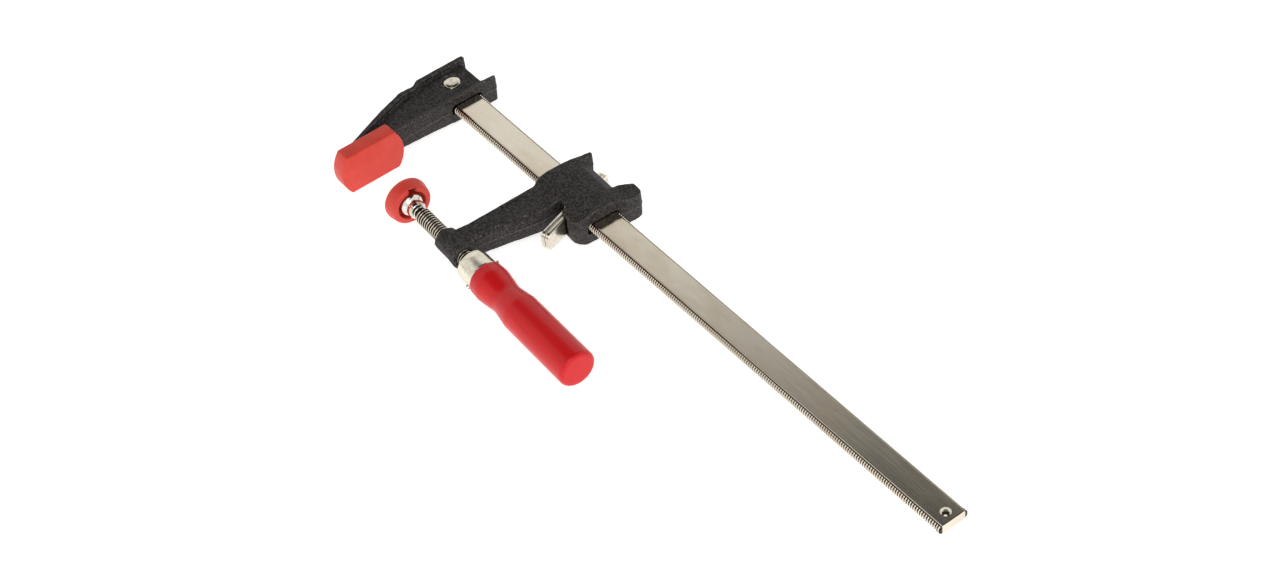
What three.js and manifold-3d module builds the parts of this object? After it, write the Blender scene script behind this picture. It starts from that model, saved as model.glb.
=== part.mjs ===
// Clutch-style F clamp. Millimetres. X runs along the bar towards its free end,
// the two arms reach towards -Y, and Z is up.
// While modelling, x = 0 is the clamping side of the fixed jaw, y = 0 and z = 0 the centre line of the bar.
import * as THREE from "three";
import { mergeVertices } from "three/addons/utils/BufferGeometryUtils.js";
import Module from "manifold-3d";

const wasm = await Module();
wasm.setup();

// ---- driving dimensions ----
const CLEARANCE = 0.35; // gap between neighbouring pieces

const BAR_WIDTH = 19;
const BAR_THICKNESS = 6.5;
const BAR_START = -24;
const BAR_END = 418;
const BAR_CHAMFER = 1.85;
const TOOTH_PITCH = 1.66;
const TOOTH_DEPTH = 0.7;
const STOP_FROM_END = 6;
const STOP_RADIUS = 3;
const STOP_HEIGHT = 0.8;

const JAW_HALF_HEIGHT = 9;
const FIXED_WEB_HALF_HEIGHT = 6;
const FIXED_FACE_X = -0.9; // the clamping side of the fixed arm, below the bar
const SLOT_HALF_WIDTH = 10.6;
const SLOT_HALF_HEIGHT = 3.8;
const FIXED_PIN_X = -16.5;
const FIXED_PIN_Y = 0.9;
const FIXED_PIN_RADIUS = 5;

const PAD_CENTRE_Y = -69.5;
const PAD_RADIUS = 21.2;
const PAD_HALF_HEIGHT = 13.5;
const PAD_FRONT_X = 4;
const PAD_BACK_X = -6;

const JAW_X = 110; // middle of the clutch, measured from the fixed jaw
const JAW_COCK = THREE.MathUtils.degToRad(-2); // the loose jaw leans a little on the bar
const SLIDING_CROWN_HALF_HEIGHT = 11.3; // the sliding jaw swells where the bar goes through
const SLIDING_WEB_HALF_HEIGHT = 7.4;
const SCREW_Y = -75;
const BOSS_RADIUS = 7.4;

const PLATE_TILT = THREE.MathUtils.degToRad(19.5);
const PLATE_X = 1.1;
const PLATE_THICKNESS = 2.5;
const PLATE_HALF_HEIGHT = 6;
const PLATE_BACK = 21.8;
const PLATE_FRONT = -36.5;

const THREAD_RADIUS = 5;
const THREAD_PITCH = 2;
const THREAD_DEPTH = 0.8;

// ---- finishes ----
const FINISHES = {
  nickel: { color: 0xc3bba3, roughness: 0.35, metalness: 1 },
  casting: { color: 0x2b2928, roughness: 0.6, metalness: 0.2 },
  redPlastic: { color: 0xd84a3c, roughness: 0.45, metalness: 0 },
  lacquer: { color: 0xb0161d, roughness: 0.2, metalness: 0 },
};

// ---- helpers ----
function solidOf(geometry) {
  const bare = geometry.index ? geometry.toNonIndexed() : geometry.clone();
  bare.deleteAttribute("normal");
  bare.deleteAttribute("uv");
  const merged = mergeVertices(bare, 1e-4);
  return new wasm.Manifold(
    new wasm.Mesh({
      numProp: 3,
      vertProperties: merged.attributes.position.array,
      triVerts: new Uint32Array(merged.index.array),
    }),
  );
}

function meshOf(name, solid, finish) {
  const made = solid.getMesh();
  const geometry = new THREE.BufferGeometry();
  geometry.setAttribute("position", new THREE.BufferAttribute(new Float32Array(made.vertProperties), 3));
  geometry.setIndex(new THREE.BufferAttribute(new Uint32Array(made.triVerts), 1));
  geometry.computeVertexNormals();
  const mesh = new THREE.Mesh(geometry, new THREE.MeshStandardMaterial(FINISHES[finish]));
  mesh.name = name;
  return mesh;
}

// A closed outline from corners [x, y, radius]; a radius rounds its corner.
function roundedShape(corners) {
  const shape = new THREE.Shape();
  const count = corners.length;
  for (let i = 0; i < count; i++) {
    const [x, y, radius] = corners[i];
    const corner = new THREE.Vector2(x, y);
    if (!radius) {
      if (i === 0) shape.moveTo(x, y);
      else shape.lineTo(x, y);
      continue;
    }
    const before = new THREE.Vector2(...corners[(i + count - 1) % count].slice(0, 2)).sub(corner);
    const after = new THREE.Vector2(...corners[(i + 1) % count].slice(0, 2)).sub(corner);
    const half = Math.acos(before.dot(after) / before.length() / after.length()) / 2;
    const reach = radius / Math.tan(half);
    const start = corner.clone().add(before.setLength(reach));
    const end = corner.clone().add(after.setLength(reach));
    if (i === 0) shape.moveTo(start.x, start.y);
    else shape.lineTo(start.x, start.y);
    shape.quadraticCurveTo(x, y, end.x, end.y);
  }
  shape.closePath();
  return shape;
}

// An outline in the XY plane made into a slab between two heights.
function slab(shape, zBottom, zTop, curveSegments = 4) {
  const geometry = new THREE.ExtrudeGeometry(shape, {
    depth: zTop - zBottom,
    bevelEnabled: false,
    curveSegments,
  });
  return solidOf(geometry.translate(0, 0, zBottom));
}

function box(x0, x1, y0, y1, z0, z1) {
  const geometry = new THREE.BoxGeometry(x1 - x0, y1 - y0, z1 - z0);
  return solidOf(geometry.translate((x0 + x1) / 2, (y0 + y1) / 2, (z0 + z1) / 2));
}

// A closed profile of [x, radius] pairs turned about the X axis.
function turned(profile, segments = 32) {
  const points = profile.map(([x, radius]) => new THREE.Vector2(radius, x));
  points.push(points[0].clone());
  const geometry = new THREE.LatheGeometry(points, segments);
  geometry.rotateZ(-Math.PI / 2);
  const solid = solidOf(geometry);
  return solid.volume() < 0 ? solidOf(geometry.scale(1, -1, 1)) : solid;
}

function rod(x0, x1, radius, segments = 32) {
  return turned([[x0, 0], [x0, radius], [x1, radius], [x1, 0]], segments);
}

// The same rod standing along Z or lying along Y, through the given point.
function rodZ(x, y, z0, z1, radius, segments = 32) {
  return rod(z0, z1, radius, segments).rotate([0, -90, 0]).translate([x, y, 0]);
}

// ---- bar ----
function toothedEdge(side) {
  const points = [];
  const tip = (side * BAR_WIDTH) / 2;
  const root = side * (BAR_WIDTH / 2 - TOOTH_DEPTH);
  const first = 0;
  const count = Math.floor((BAR_END - 3 - first) / TOOTH_PITCH);
  for (let i = 0; i < count; i++) {
    points.push([first + i * TOOTH_PITCH, tip]);
    points.push([first + (i + 0.5) * TOOTH_PITCH, root]);
  }
  points.push([first + count * TOOTH_PITCH, tip]);
  return points;
}

function makeBar() {
  const halfThickness = BAR_THICKNESS / 2;
  const toothHalfHeight = halfThickness - BAR_CHAMFER;
  const halfWidth = BAR_WIDTH / 2;
  const outline = new THREE.Shape();
  const near = toothedEdge(-1);
  const far = toothedEdge(1).reverse();
  outline.moveTo(BAR_START, -halfWidth);
  for (const [x, y] of near) outline.lineTo(x, y);
  outline.lineTo(BAR_END, -halfWidth);
  outline.lineTo(BAR_END, halfWidth);
  for (const [x, y] of far) outline.lineTo(x, y);
  outline.lineTo(BAR_START, halfWidth);
  outline.closePath();
  const toothed = slab(outline, -toothHalfHeight, toothHalfHeight);

  const root = halfWidth - TOOTH_DEPTH;
  const face = halfWidth - BAR_CHAMFER;
  const section = new THREE.Shape();
  section.moveTo(-face, -halfThickness);
  section.lineTo(face, -halfThickness);
  section.lineTo(root, -toothHalfHeight);
  section.lineTo(root, toothHalfHeight);
  section.lineTo(face, halfThickness);
  section.lineTo(-face, halfThickness);
  section.lineTo(-root, toothHalfHeight);
  section.lineTo(-root, -toothHalfHeight);
  section.closePath();
  const core = slab(section, 0, BAR_END - BAR_START)
    .rotate([90, 0, 90])
    .translate([BAR_START, 0, 0]);

  const stopX = BAR_END - STOP_FROM_END;
  const stop = rodZ(stopX, 0, 0, halfThickness + STOP_HEIGHT, STOP_RADIUS, 16);
  const pinHole = rodZ(FIXED_PIN_X, FIXED_PIN_Y, -10, 10, FIXED_PIN_RADIUS + CLEARANCE, 28);
  return meshOf("bar", toothed.add(core).add(stop).subtract(pinHole), "nickel");
}

// The hole for the bar: a rectangle in section, with well rounded ends.
function barSlot(x0, x1, radius = 2.6) {
  const w = SLOT_HALF_WIDTH;
  const h = SLOT_HALF_HEIGHT;
  const section = roundedShape([
    [-w, -h, radius],
    [w, -h, radius],
    [w, h, radius],
    [-w, h, radius],
  ]);
  return slab(section, 0, x1 - x0).rotate([90, 0, 90]).translate([x0, 0, 0]);
}

// Everything inside a closed outline of [y, z] points, seen along the bar.
function sideProfile(points) {
  const shape = new THREE.Shape();
  points.forEach(([y, z], i) => (i ? shape.lineTo(y, z) : shape.moveTo(y, z)));
  shape.closePath();
  return slab(shape, -60, 60).rotate([90, 0, 90]);
}

// ---- fixed jaw, its pin and its pad ----
function makeFixedJaw() {
  const outline = roundedShape([
    [0, 21.6, 1.8],
    [-3.2, 21.6, 1],
    [-3.6, 14, 1.5],
    [-25.4, 14, 1.5],
    [-25.9, 17.3, 1],
    [-29, 17, 1.6],
    [-29, -16, 2],
    [-26.2, -20, 2.5],
    [-27, -29, 8],
    [-21.5, -46.5, 14],
    [-10, -75, 20],
    [-6.2, -86, 1.5],
    [FIXED_FACE_X, -86, 1],
    [FIXED_FACE_X, -22],
    [0, -2],
  ]);
  const recess = roundedShape([
    [-4, 30],
    [-25.6, 30],
    [-25.6, -14, 2],
    [-22.8, -20, 3],
    [-23, -30, 6],
    [-18.2, -46, 12],
    [-8.4, -72, 2],
    [-5, -72, 1],
    [-5, -20, 10],
  ]);
  // seen along the bar, the arm gets lower towards the pad, mostly from below
  const side = sideProfile([
    [30, JAW_HALF_HEIGHT],
    [-8, JAW_HALF_HEIGHT],
    [-87, JAW_HALF_HEIGHT - 0.6],
    [-87, 1.2 - FIXED_WEB_HALF_HEIGHT],
    [-52, -0.2 - FIXED_WEB_HALF_HEIGHT],
    [-8, -JAW_HALF_HEIGHT],
    [30, -JAW_HALF_HEIGHT],
  ]);
  let body = slab(outline, -JAW_HALF_HEIGHT, JAW_HALF_HEIGHT).intersect(side);
  body = body.subtract(slab(recess, FIXED_WEB_HALF_HEIGHT, 20));
  body = body.subtract(slab(recess, -20, -FIXED_WEB_HALF_HEIGHT));
  body = body.subtract(barSlot(BAR_START - 1, 5));
  body = body.subtract(rodZ(FIXED_PIN_X, FIXED_PIN_Y, -10, 10, FIXED_PIN_RADIUS + CLEARANCE + 0.3, 28));
  return meshOf("fixed_jaw", body, "casting");
}

function makeFixedJawPin() {
  const reach = FIXED_WEB_HALF_HEIGHT + 0.3;
  const crown = 0.5;
  const profile = [
    [-reach, 0],
    [-reach, FIXED_PIN_RADIUS - crown],
    [-reach + crown, FIXED_PIN_RADIUS],
    [reach - crown, FIXED_PIN_RADIUS],
    [reach, FIXED_PIN_RADIUS - crown],
    [reach, 0],
  ];
  const pin = turned(profile, 28).rotate([0, -90, 0]).translate([FIXED_PIN_X, FIXED_PIN_Y, 0]);
  const notch = rodZ(FIXED_PIN_X, FIXED_PIN_Y - FIXED_PIN_RADIUS - 0.2, 4.5, 10, 1, 12);
  return meshOf("fixed_jaw_pin", pin.subtract(notch), "nickel");
}

function makeFixedPad() {
  const bevel = 0.8;
  const disc = turned(
    [
      [PAD_BACK_X, 0],
      [PAD_BACK_X, PAD_RADIUS],
      [PAD_FRONT_X - bevel, PAD_RADIUS],
      [PAD_FRONT_X, PAD_RADIUS - bevel],
      [PAD_FRONT_X, 0],
    ],
    48,
  ).translate([0, PAD_CENTRE_Y, 0]);
  const band = box(-20, 20, -120, 0, -PAD_HALF_HEIGHT, PAD_HALF_HEIGHT);
  const h = JAW_HALF_HEIGHT + CLEARANCE;
  const pocket = box(-20, FIXED_FACE_X + CLEARANCE, -86 - CLEARANCE, 0, -h, h);
  return meshOf("fixed_jaw_pad", disc.intersect(band).subtract(pocket), "redPlastic");
}

// ---- sliding jaw: drawn with its own x = 0 in the middle of the clutch ----
function makeSlidingJaw() {
  const outline = roundedShape([
    [21.4, -18.6, 7],
    [6.2, -17.6, 1.5],
    [4.6, -13, 1],
    [-1.6, -13, 1],
    [-1.6, -27, 12],
    [-5.2, -45.6, 30],
    [-7.4, -58, 12],
    [-8.4, -73, 1],
    [-22, -73, 1],
    [-20.9, -62, 6],
    [-20.9, -18, 4],
    [-23.3, -13, 3],
    [-23.3, 18, 6],
    [-22.8, 22.8, 1.2],
    [-20.3, 22.9, 1],
    [-19.6, 16.6, 1],
    [8.6, 16.4, 1.5],
    [13.8, 26.9, 2],
    [23.8, 26.6, 4.6],
    [23.4, 15, 4],
    [21.4, 9, 4],
  ]);
  const recess = roundedShape([
    [-18.9, -24, 2],
    [-18.9, -62, 2],
    [-12, -62, 2],
    [-9.6, -45, 8],
    [-6.8, -24, 3],
  ]);
  // the clutch opening gives the plates room to swing and leaves a skin above and below
  const clutch = roundedShape([
    [-11, 24],
    [6.5, 24],
    [6.5, 4],
    [11.4, -18],
    [11.4, -32],
    [-1.4, -32],
    [-2.2, -12],
    [-3.6, 4],
  ]);
  const clutchHalfHeight = PLATE_HALF_HEIGHT + 0.5;
  // seen along the bar, the jaw swells round the bar and the arm gets lower towards the screw
  const upper = [
    [30, JAW_HALF_HEIGHT - 0.4],
    [17, JAW_HALF_HEIGHT],
    [10.5, SLIDING_CROWN_HALF_HEIGHT - 0.8],
    [4, SLIDING_CROWN_HALF_HEIGHT],
    [-6, SLIDING_CROWN_HALF_HEIGHT],
    [-11.5, SLIDING_CROWN_HALF_HEIGHT - 1],
    [-17, JAW_HALF_HEIGHT - 0.8],
    [-74, BOSS_RADIUS - 0.7],
  ];
  const lower = upper.map(([y, z]) => [y, -Math.min(z, SLIDING_CROWN_HALF_HEIGHT - 0.8)]).reverse();
  const side = sideProfile([...upper, ...lower]);
  // between its two rear lugs the top falls away
  const rearSlope = sideProfile([
    [11.5, 10.3],
    [17.5, 6.2],
    [30, 6.2],
    [30, 20],
    [11.5, 20],
  ]).intersect(box(-19.2, 9.6, 0, 40, -20, 20));

  let body = slab(outline, -SLIDING_CROWN_HALF_HEIGHT, SLIDING_CROWN_HALF_HEIGHT).intersect(side);
  body = body.subtract(rearSlope).subtract(rearSlope.mirror([0, 0, 1]));
  body = body.subtract(slab(recess, SLIDING_WEB_HALF_HEIGHT, 20));
  body = body.subtract(slab(recess, -20, -SLIDING_WEB_HALF_HEIGHT));
  body = body.subtract(slab(clutch, -clutchHalfHeight, clutchHalfHeight));
  const boss = turned(
    [
      [-26, 0],
      [-26, BOSS_RADIUS - 0.8],
      [-25.2, BOSS_RADIUS],
      [-14, BOSS_RADIUS],
      [-6.5, BOSS_RADIUS + 0.7],
      [-5.8, BOSS_RADIUS],
      [-5.8, 0],
    ],
    32,
  ).translate([0, SCREW_Y, 0]);
  body = body.add(boss);
  body = body.subtract(rod(-60, 20, THREAD_RADIUS + CLEARANCE, 32).translate([0, SCREW_Y, 0]));
  body = body.subtract(barSlot(-40, 40));
  body = body.subtract(rod(0, 9.4, 2.6, 16).translate([0, 13.4, 0]));
  return meshOf("sliding_jaw", body, "casting");
}

function makeClutchPlate(name, side) {
  const offset = (side * (PLATE_THICKNESS + 0.3)) / 2;
  const half = PLATE_THICKNESS / 2;
  // the plate is drawn in the YZ plane, then stood up across the bar
  const section = roundedShape([
    [PLATE_FRONT, -PLATE_HALF_HEIGHT, 3],
    [PLATE_BACK, -PLATE_HALF_HEIGHT, 2],
    [PLATE_BACK, PLATE_HALF_HEIGHT, 2],
    [PLATE_FRONT, PLATE_HALF_HEIGHT, 3],
  ]);
  const windowHalfLength = BAR_WIDTH / 2 + 1.7;
  const plate = slab(section, -half, half)
    .rotate([90, 0, 90])
    .subtract(box(-9, 9, -windowHalfLength, windowHalfLength, -3.75, 3.75))
    .translate([offset, 0, 0])
    .rotate([0, 0, THREE.MathUtils.radToDeg(PLATE_TILT)])
    .translate([PLATE_X, 0, 0]);
  return meshOf(name, plate, "nickel");
}

function makeClutchSpring() {
  const turns = 4;
  const coilRadius = 1.7;
  const wireRadius = 0.4;
  const xStart = 0.2;
  const xEnd = 8.6;
  class Coil extends THREE.Curve {
    getPoint(t) {
      const angle = 2 * Math.PI * turns * t;
      return new THREE.Vector3(
        xStart + (xEnd - xStart) * t,
        13.4 + coilRadius * Math.cos(angle),
        coilRadius * Math.sin(angle),
      );
    }
  }
  const wire = new THREE.Shape().absarc(0, 0, wireRadius, 0, 2 * Math.PI);
  const geometry = new THREE.ExtrudeGeometry(wire, {
    extrudePath: new Coil(),
    steps: turns * 12,
    curveSegments: 3,
  });
  return meshOf("clutch_spring", solidOf(geometry), "nickel");
}

// ---- screw: x from the clutch middle, turned about its own axis ----
const BALL_X = -60.6;
const BALL_RADIUS = 4.2;
const NECK_RADIUS = 2.4;
const THREAD_START = -51;
const FERRULE_FRONT = 1;
const GRIP_START = 14.4;
const GRIP_END = 103.5;
const PIN_X = 11.8;
const PIN_RADIUS = 1.5;

function makeSpindle() {
  const core = THREAD_RADIUS - THREAD_DEPTH;
  const profile = [];
  const arcSteps = 8;
  const neckAngle = Math.asin(NECK_RADIUS / BALL_RADIUS);
  for (let i = 0; i <= arcSteps; i++) {
    const angle = Math.PI - ((Math.PI - neckAngle) * i) / arcSteps;
    profile.push([BALL_X + BALL_RADIUS * Math.cos(angle), Math.max(0, BALL_RADIUS * Math.sin(angle))]);
  }
  profile.push([THREAD_START, NECK_RADIUS]);
  profile.push([THREAD_START, core - 0.6]);
  profile.push([THREAD_START + 1.2, THREAD_RADIUS - 0.2]);
  // crests and roots of the thread, up to the ferrule
  const crest = THREAD_PITCH * 0.3;
  const flank = THREAD_PITCH * 0.2;
  for (let x = THREAD_START + 2.2; x < FERRULE_FRONT - 2 * THREAD_PITCH; x += THREAD_PITCH) {
    profile.push([x, core]);
    profile.push([x + crest, core]);
    profile.push([x + crest + flank, THREAD_RADIUS]);
    profile.push([x + 2 * crest + flank, THREAD_RADIUS]);
  }
  profile.push([FERRULE_FRONT - 0.6, core]);
  profile.push([GRIP_START + 25, core]);
  profile.push([GRIP_START + 25, 0]);
  const hole = rodY(PIN_X, PIN_RADIUS + CLEARANCE);
  return meshOf("spindle", turned(profile, 16).subtract(hole), "nickel");
}

// A rod across the screw; the cross pin lies a little turned from Y.
function rodY(x, radius, halfLength = 20, segments = 14) {
  return rod(-halfLength, halfLength, radius, segments)
    .rotate([0, 0, 90])
    .translate([x, 0, 0])
    .rotate([15, 0, 0]);
}

function makeCrossPin() {
  return meshOf("cross_pin", rodY(PIN_X, PIN_RADIUS, 10.9), "nickel");
}

function makeFerrule() {
  const wall = 1;
  const shell = turned(
    [
      [FERRULE_FRONT, 4.2 + CLEARANCE],
      [FERRULE_FRONT, 7.6],
      [FERRULE_FRONT + 0.5, 8.3],
      [FERRULE_FRONT + 1.6, 8.9],
      [GRIP_START - 0.6, 10.3],
      [GRIP_START, 10.1],
      [GRIP_START, 10.3 - wall],
      [FERRULE_FRONT + 2, 8.9 - wall],
      [FERRULE_FRONT + 1.2, 7.4],
      [FERRULE_FRONT + 1.2, 4.2 + CLEARANCE],
    ],
    36,
  );
  return meshOf("ferrule", shell.subtract(rodY(PIN_X, PIN_RADIUS + CLEARANCE)), "nickel");
}

function makeGrip() {
  const bore = THREAD_RADIUS - THREAD_DEPTH + CLEARANCE;
  const grip = turned(
    [
      [FERRULE_FRONT + 1.6, bore],
      [FERRULE_FRONT + 1.6, 7],
      [FERRULE_FRONT + 2.4, 7.55],
      [GRIP_START + CLEARANCE, 8.9],
      [GRIP_START + CLEARANCE, 10.6],
      [GRIP_START + 1.2, 10.95],
      [GRIP_START + 7, 11.2],
      [GRIP_START + 12.5, 10.4],
      [GRIP_START + 17, 10],
      [GRIP_START + 22, 9.8],
      [GRIP_START + 27, 10.3],
      [GRIP_START + 31, 11],
      [GRIP_START + 35, 11.3],
      [GRIP_END - 4.2, 11.4],
      [GRIP_END - 2, 11],
      [GRIP_END - 0.6, 10.2],
      [GRIP_END, 9.2],
      [GRIP_END, 0],
      [GRIP_START + 26, 0],
      [GRIP_START + 26, bore],
    ],
    32,
  );
  return meshOf("handle_grip", grip.subtract(rodY(PIN_X, PIN_RADIUS + CLEARANCE)), "lacquer");
}

// ---- swivel pad ----
const SOCKET_REAR = -53.6;
const SOCKET_FRONT = -66.6;

function makeSwivelSocket() {
  const profile = [];
  // the cup round the ball, open at the back
  const mouth = 3.7;
  const cavity = BALL_RADIUS + 0.5;
  profile.push([SOCKET_FRONT, 0]);
  profile.push([SOCKET_FRONT, 9.6]);
  profile.push([SOCKET_FRONT + 1.6, 9.6]);
  profile.push([SOCKET_FRONT + 1.9, 7.4]);
  profile.push([SOCKET_FRONT + 4.4, 7.1]);
  profile.push([SOCKET_FRONT + 6.8, 6.1]);
  profile.push([SOCKET_FRONT + 7.6, 5.3]);
  profile.push([SOCKET_REAR - 0.5, 5.3]);
  profile.push([SOCKET_REAR, 4.8]);
  profile.push([SOCKET_REAR, mouth]);
  const arcSteps = 7;
  const mouthAngle = Math.asin(mouth / cavity);
  for (let i = 0; i <= arcSteps; i++) {
    const angle = mouthAngle + ((Math.PI - mouthAngle) * i) / arcSteps;
    profile.push([BALL_X + cavity * Math.cos(angle), Math.max(0, cavity * Math.sin(angle))]);
  }
  return meshOf("swivel_socket", turned(profile, 28), "nickel");
}

function makeRetainingRing() {
  const wireRadius = 0.5;
  const ringRadius = 3.5;
  const x = -52.2;
  const profile = [];
  for (let i = 0; i < 8; i++) {
    const angle = (2 * Math.PI * i) / 8;
    profile.push([x + wireRadius * Math.cos(angle), ringRadius + wireRadius * Math.sin(angle)]);
  }
  return meshOf("swivel_retaining_ring", turned(profile, 24), "nickel");
}

function makeSwivelCap() {
  const front = SOCKET_FRONT - 2;
  const back = front + 9;
  const opening = 8;
  const shell = turned(
    [
      [front, 0],
      [front, 12.2],
      [front + 0.9, 13.2],
      [front + 2.4, 13.5],
      [back - 1.6, 12.8],
      [back - 0.4, 12],
      [back, 11],
      [back, opening],
      [SOCKET_FRONT + 2.2, opening],
      [SOCKET_FRONT + 2.2, 10],
      [SOCKET_FRONT - CLEARANCE, 10],
      [SOCKET_FRONT - CLEARANCE, 0],
    ],
    40,
  );
  // a notch in the rim shows the edge of the steel socket
  const notch = box(SOCKET_FRONT + 2, 0, 0, 10.4, -3.2, 3.2).rotate([60, 0, 0]);
  return meshOf("swivel_pad_cap", shell.subtract(notch), "redPlastic");
}

// ---- assembly ----
const screwLine = new THREE.Group();
screwLine.position.y = SCREW_Y;
screwLine.add(
  makeSpindle(),
  makeCrossPin(),
  makeFerrule(),
  makeGrip(),
  makeSwivelSocket(),
  makeRetainingRing(),
  makeSwivelCap(),
);

const slidingGroup = new THREE.Group();
slidingGroup.position.x = JAW_X;
slidingGroup.rotation.z = JAW_COCK;
slidingGroup.add(
  makeSlidingJaw(),
  makeClutchPlate("clutch_plate_inner", -1),
  makeClutchPlate("clutch_plate_outer", 1),
  makeClutchSpring(),
  screwLine,
);

const clamp = new THREE.Group();
clamp.add(makeBar(), makeFixedJaw(), makeFixedJawPin(), makeFixedPad(), slidingGroup);

// The part's frame: the origin under the middle of the whole clamp, at its lowest point.
const bounds = new THREE.Box3().setFromObject(clamp, true);
const middle = bounds.getCenter(new THREE.Vector3());
clamp.position.set(-middle.x, -middle.y, -bounds.min.z);

export default clamp;
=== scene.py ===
"""The look of a clutch-style F clamp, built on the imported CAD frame.

Shapes are drawn in millimetres. The bar's drawing has x = 0 at the clamping side of the fixed jaw and
y = 0, z = 0 on the centre line of the bar. The sliding jaw, and everything it carries, has a drawing
of its own, with x = 0 in the middle of the clutch.
"""
import math

import bmesh
import bpy
import numpy as np
from mathutils import Matrix, Vector, noise


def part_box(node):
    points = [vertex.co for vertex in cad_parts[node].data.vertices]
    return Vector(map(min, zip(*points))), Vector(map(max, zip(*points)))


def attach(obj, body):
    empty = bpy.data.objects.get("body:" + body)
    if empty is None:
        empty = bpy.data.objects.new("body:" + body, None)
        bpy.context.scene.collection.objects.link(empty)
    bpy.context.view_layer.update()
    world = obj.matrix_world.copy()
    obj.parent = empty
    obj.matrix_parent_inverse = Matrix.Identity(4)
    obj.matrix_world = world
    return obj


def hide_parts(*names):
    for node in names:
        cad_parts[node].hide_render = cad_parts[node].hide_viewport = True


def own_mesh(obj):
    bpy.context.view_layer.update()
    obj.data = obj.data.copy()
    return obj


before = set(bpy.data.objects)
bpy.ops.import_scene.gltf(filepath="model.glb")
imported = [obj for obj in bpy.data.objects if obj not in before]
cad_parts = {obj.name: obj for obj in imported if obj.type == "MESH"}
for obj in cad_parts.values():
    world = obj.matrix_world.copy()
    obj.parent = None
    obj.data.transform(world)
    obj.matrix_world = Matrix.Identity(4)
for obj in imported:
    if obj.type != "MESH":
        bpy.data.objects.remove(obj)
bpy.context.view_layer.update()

# ---- driving dimensions, in millimetres and degrees ----
MM = 0.001

BAR_WIDTH = 19.0
BAR_THICKNESS = 6.5
BAR_START = -24.0
BAR_END = 418.0
BAR_CHAMFER = 1.85
TOOTH_PITCH = 1.66
TOOTH_DEPTH = 0.7
# where along one pitch the crest ends and the gap starts and ends
CREST_END = 0.22
GAP_START = 0.5
GAP_END = 0.72
GROOVE_Y = 7.95
GROOVE_WIDTH = 0.9
STOP_FROM_END = 6.0
STOP_RADIUS = 3.0
STOP_HEIGHT = 0.8

FIXED_PIN_X = -16.5
FIXED_PIN_Y = 0.9
FIXED_PIN_RADIUS = 5.0
PIN_ROOM = 0.35
FIXED_WEB_HALF_HEIGHT = 6.0
JAW_HALF_HEIGHT = 9.0

PAD_CENTRE_Y = -69.5
PAD_RADIUS = 21.2
PAD_HALF_HEIGHT = 13.5
PAD_FRONT_X = 4.0
PAD_BACK_X = -6.0

JAW_X = 110.0
JAW_COCK = -2.0
SCREW_Y = -75.0

PLATE_TILT = 19.5
PLATE_X = 1.1
PLATE_THICKNESS = 2.5
PLATE_GAP = 0.3
PLATE_HALF_HEIGHT = 6.0
PLATE_BACK = 21.8
PLATE_FRONT = -36.5

THREAD_RADIUS = 5.0
THREAD_PITCH = 2.0
THREAD_DEPTH = 0.8
THREAD_START = -51.0
BALL_X = -60.6
BALL_RADIUS = 4.2
NECK_RADIUS = 2.4

FERRULE_FRONT = 1.0
GRIP_START = 14.4
GRIP_END = 103.5
PIN_X = 11.8
PIN_RADIUS = 1.5
PIN_TURN = 15.0

SOCKET_FRONT = -66.6
SOCKET_REAR = -53.3
RING_X = -52.2
RING_RADIUS = 3.5
RING_WIRE = 0.5

# a casting's skin: mesh size, softening passes, growth, draft per mm of height, seam and waves
CAST_VOXEL = 0.42
CAST_SOFTENING = 3
CAST_GROWTH = 0.22
CAST_DRAFT = 0.03
SEAM_HEIGHT = 0.16
SEAM_WIDTH = 0.35
SEAM_STEP = 0.22
CAST_WAVES = 0.09
CAST_WAVE_SIZE = 3.1

CAMERA_PLACE = (1083.396, -621.135, 1114.514)
CAMERA_AZIMUTH = 56.0942
CAMERA_ELEVATION = 45.9134
CAMERA_ROLL = -5.718
CAMERA_LENS = 80.395
CAMERA_SENSOR = 36

# ---- where the drawings lie in the frame ----
bar_low, bar_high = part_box("bar")
fixed_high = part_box("fixed_jaw")[1]
WORK = Matrix.Translation(
    (
        fixed_high.x,
        (bar_low.y + bar_high.y) / 2,
        bar_low.z + BAR_THICKNESS / 2 * MM,
    )
)
JAW = WORK @ Matrix.Translation((JAW_X * MM, 0, 0)) @ Matrix.Rotation(math.radians(JAW_COCK), 4, "Z")
SCREW = JAW @ Matrix.Translation((0, SCREW_Y * MM, 0))


# ---- shapes ----
def rounded(corners, steps=5):
    """Points of a closed outline; each corner is (x, y) or (x, y, radius)."""
    points = []
    count = len(corners)
    for i, (x, y, *rest) in enumerate(corners):
        corner = Vector((x, y))
        radius = rest[0] if rest else 0
        if not radius:
            points.append((x, y))
            continue
        before = (Vector(corners[i - 1][:2]) - corner).normalized()
        after = (Vector(corners[(i + 1) % count][:2]) - corner).normalized()
        half = math.acos(max(-1, min(1, before.dot(after)))) / 2
        reach = radius / math.tan(half)
        centre = corner + (before + after).normalized() * (radius / math.sin(half))
        start = corner + before * reach - centre
        end = corner + after * reach - centre
        turn = math.atan2(start.cross(end), start.dot(end))
        for k in range(steps + 1):
            spoke = start.copy()
            spoke.rotate(Matrix.Rotation(turn * k / steps, 2))
            points.append(tuple(centre + spoke))
    return points


def solid(name, verts, faces):
    """A mesh object with its faces turned outwards."""
    mesh = bpy.data.meshes.new(name)
    mesh.from_pydata([tuple(v) for v in verts], [], faces)
    work = bmesh.new()
    work.from_mesh(mesh)
    bmesh.ops.remove_doubles(work, verts=work.verts, dist=1e-5)
    bmesh.ops.recalc_face_normals(work, faces=work.faces)
    work.to_mesh(mesh)
    work.free()
    obj = bpy.data.objects.new(name, mesh)
    bpy.context.scene.collection.objects.link(obj)
    return obj


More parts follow.
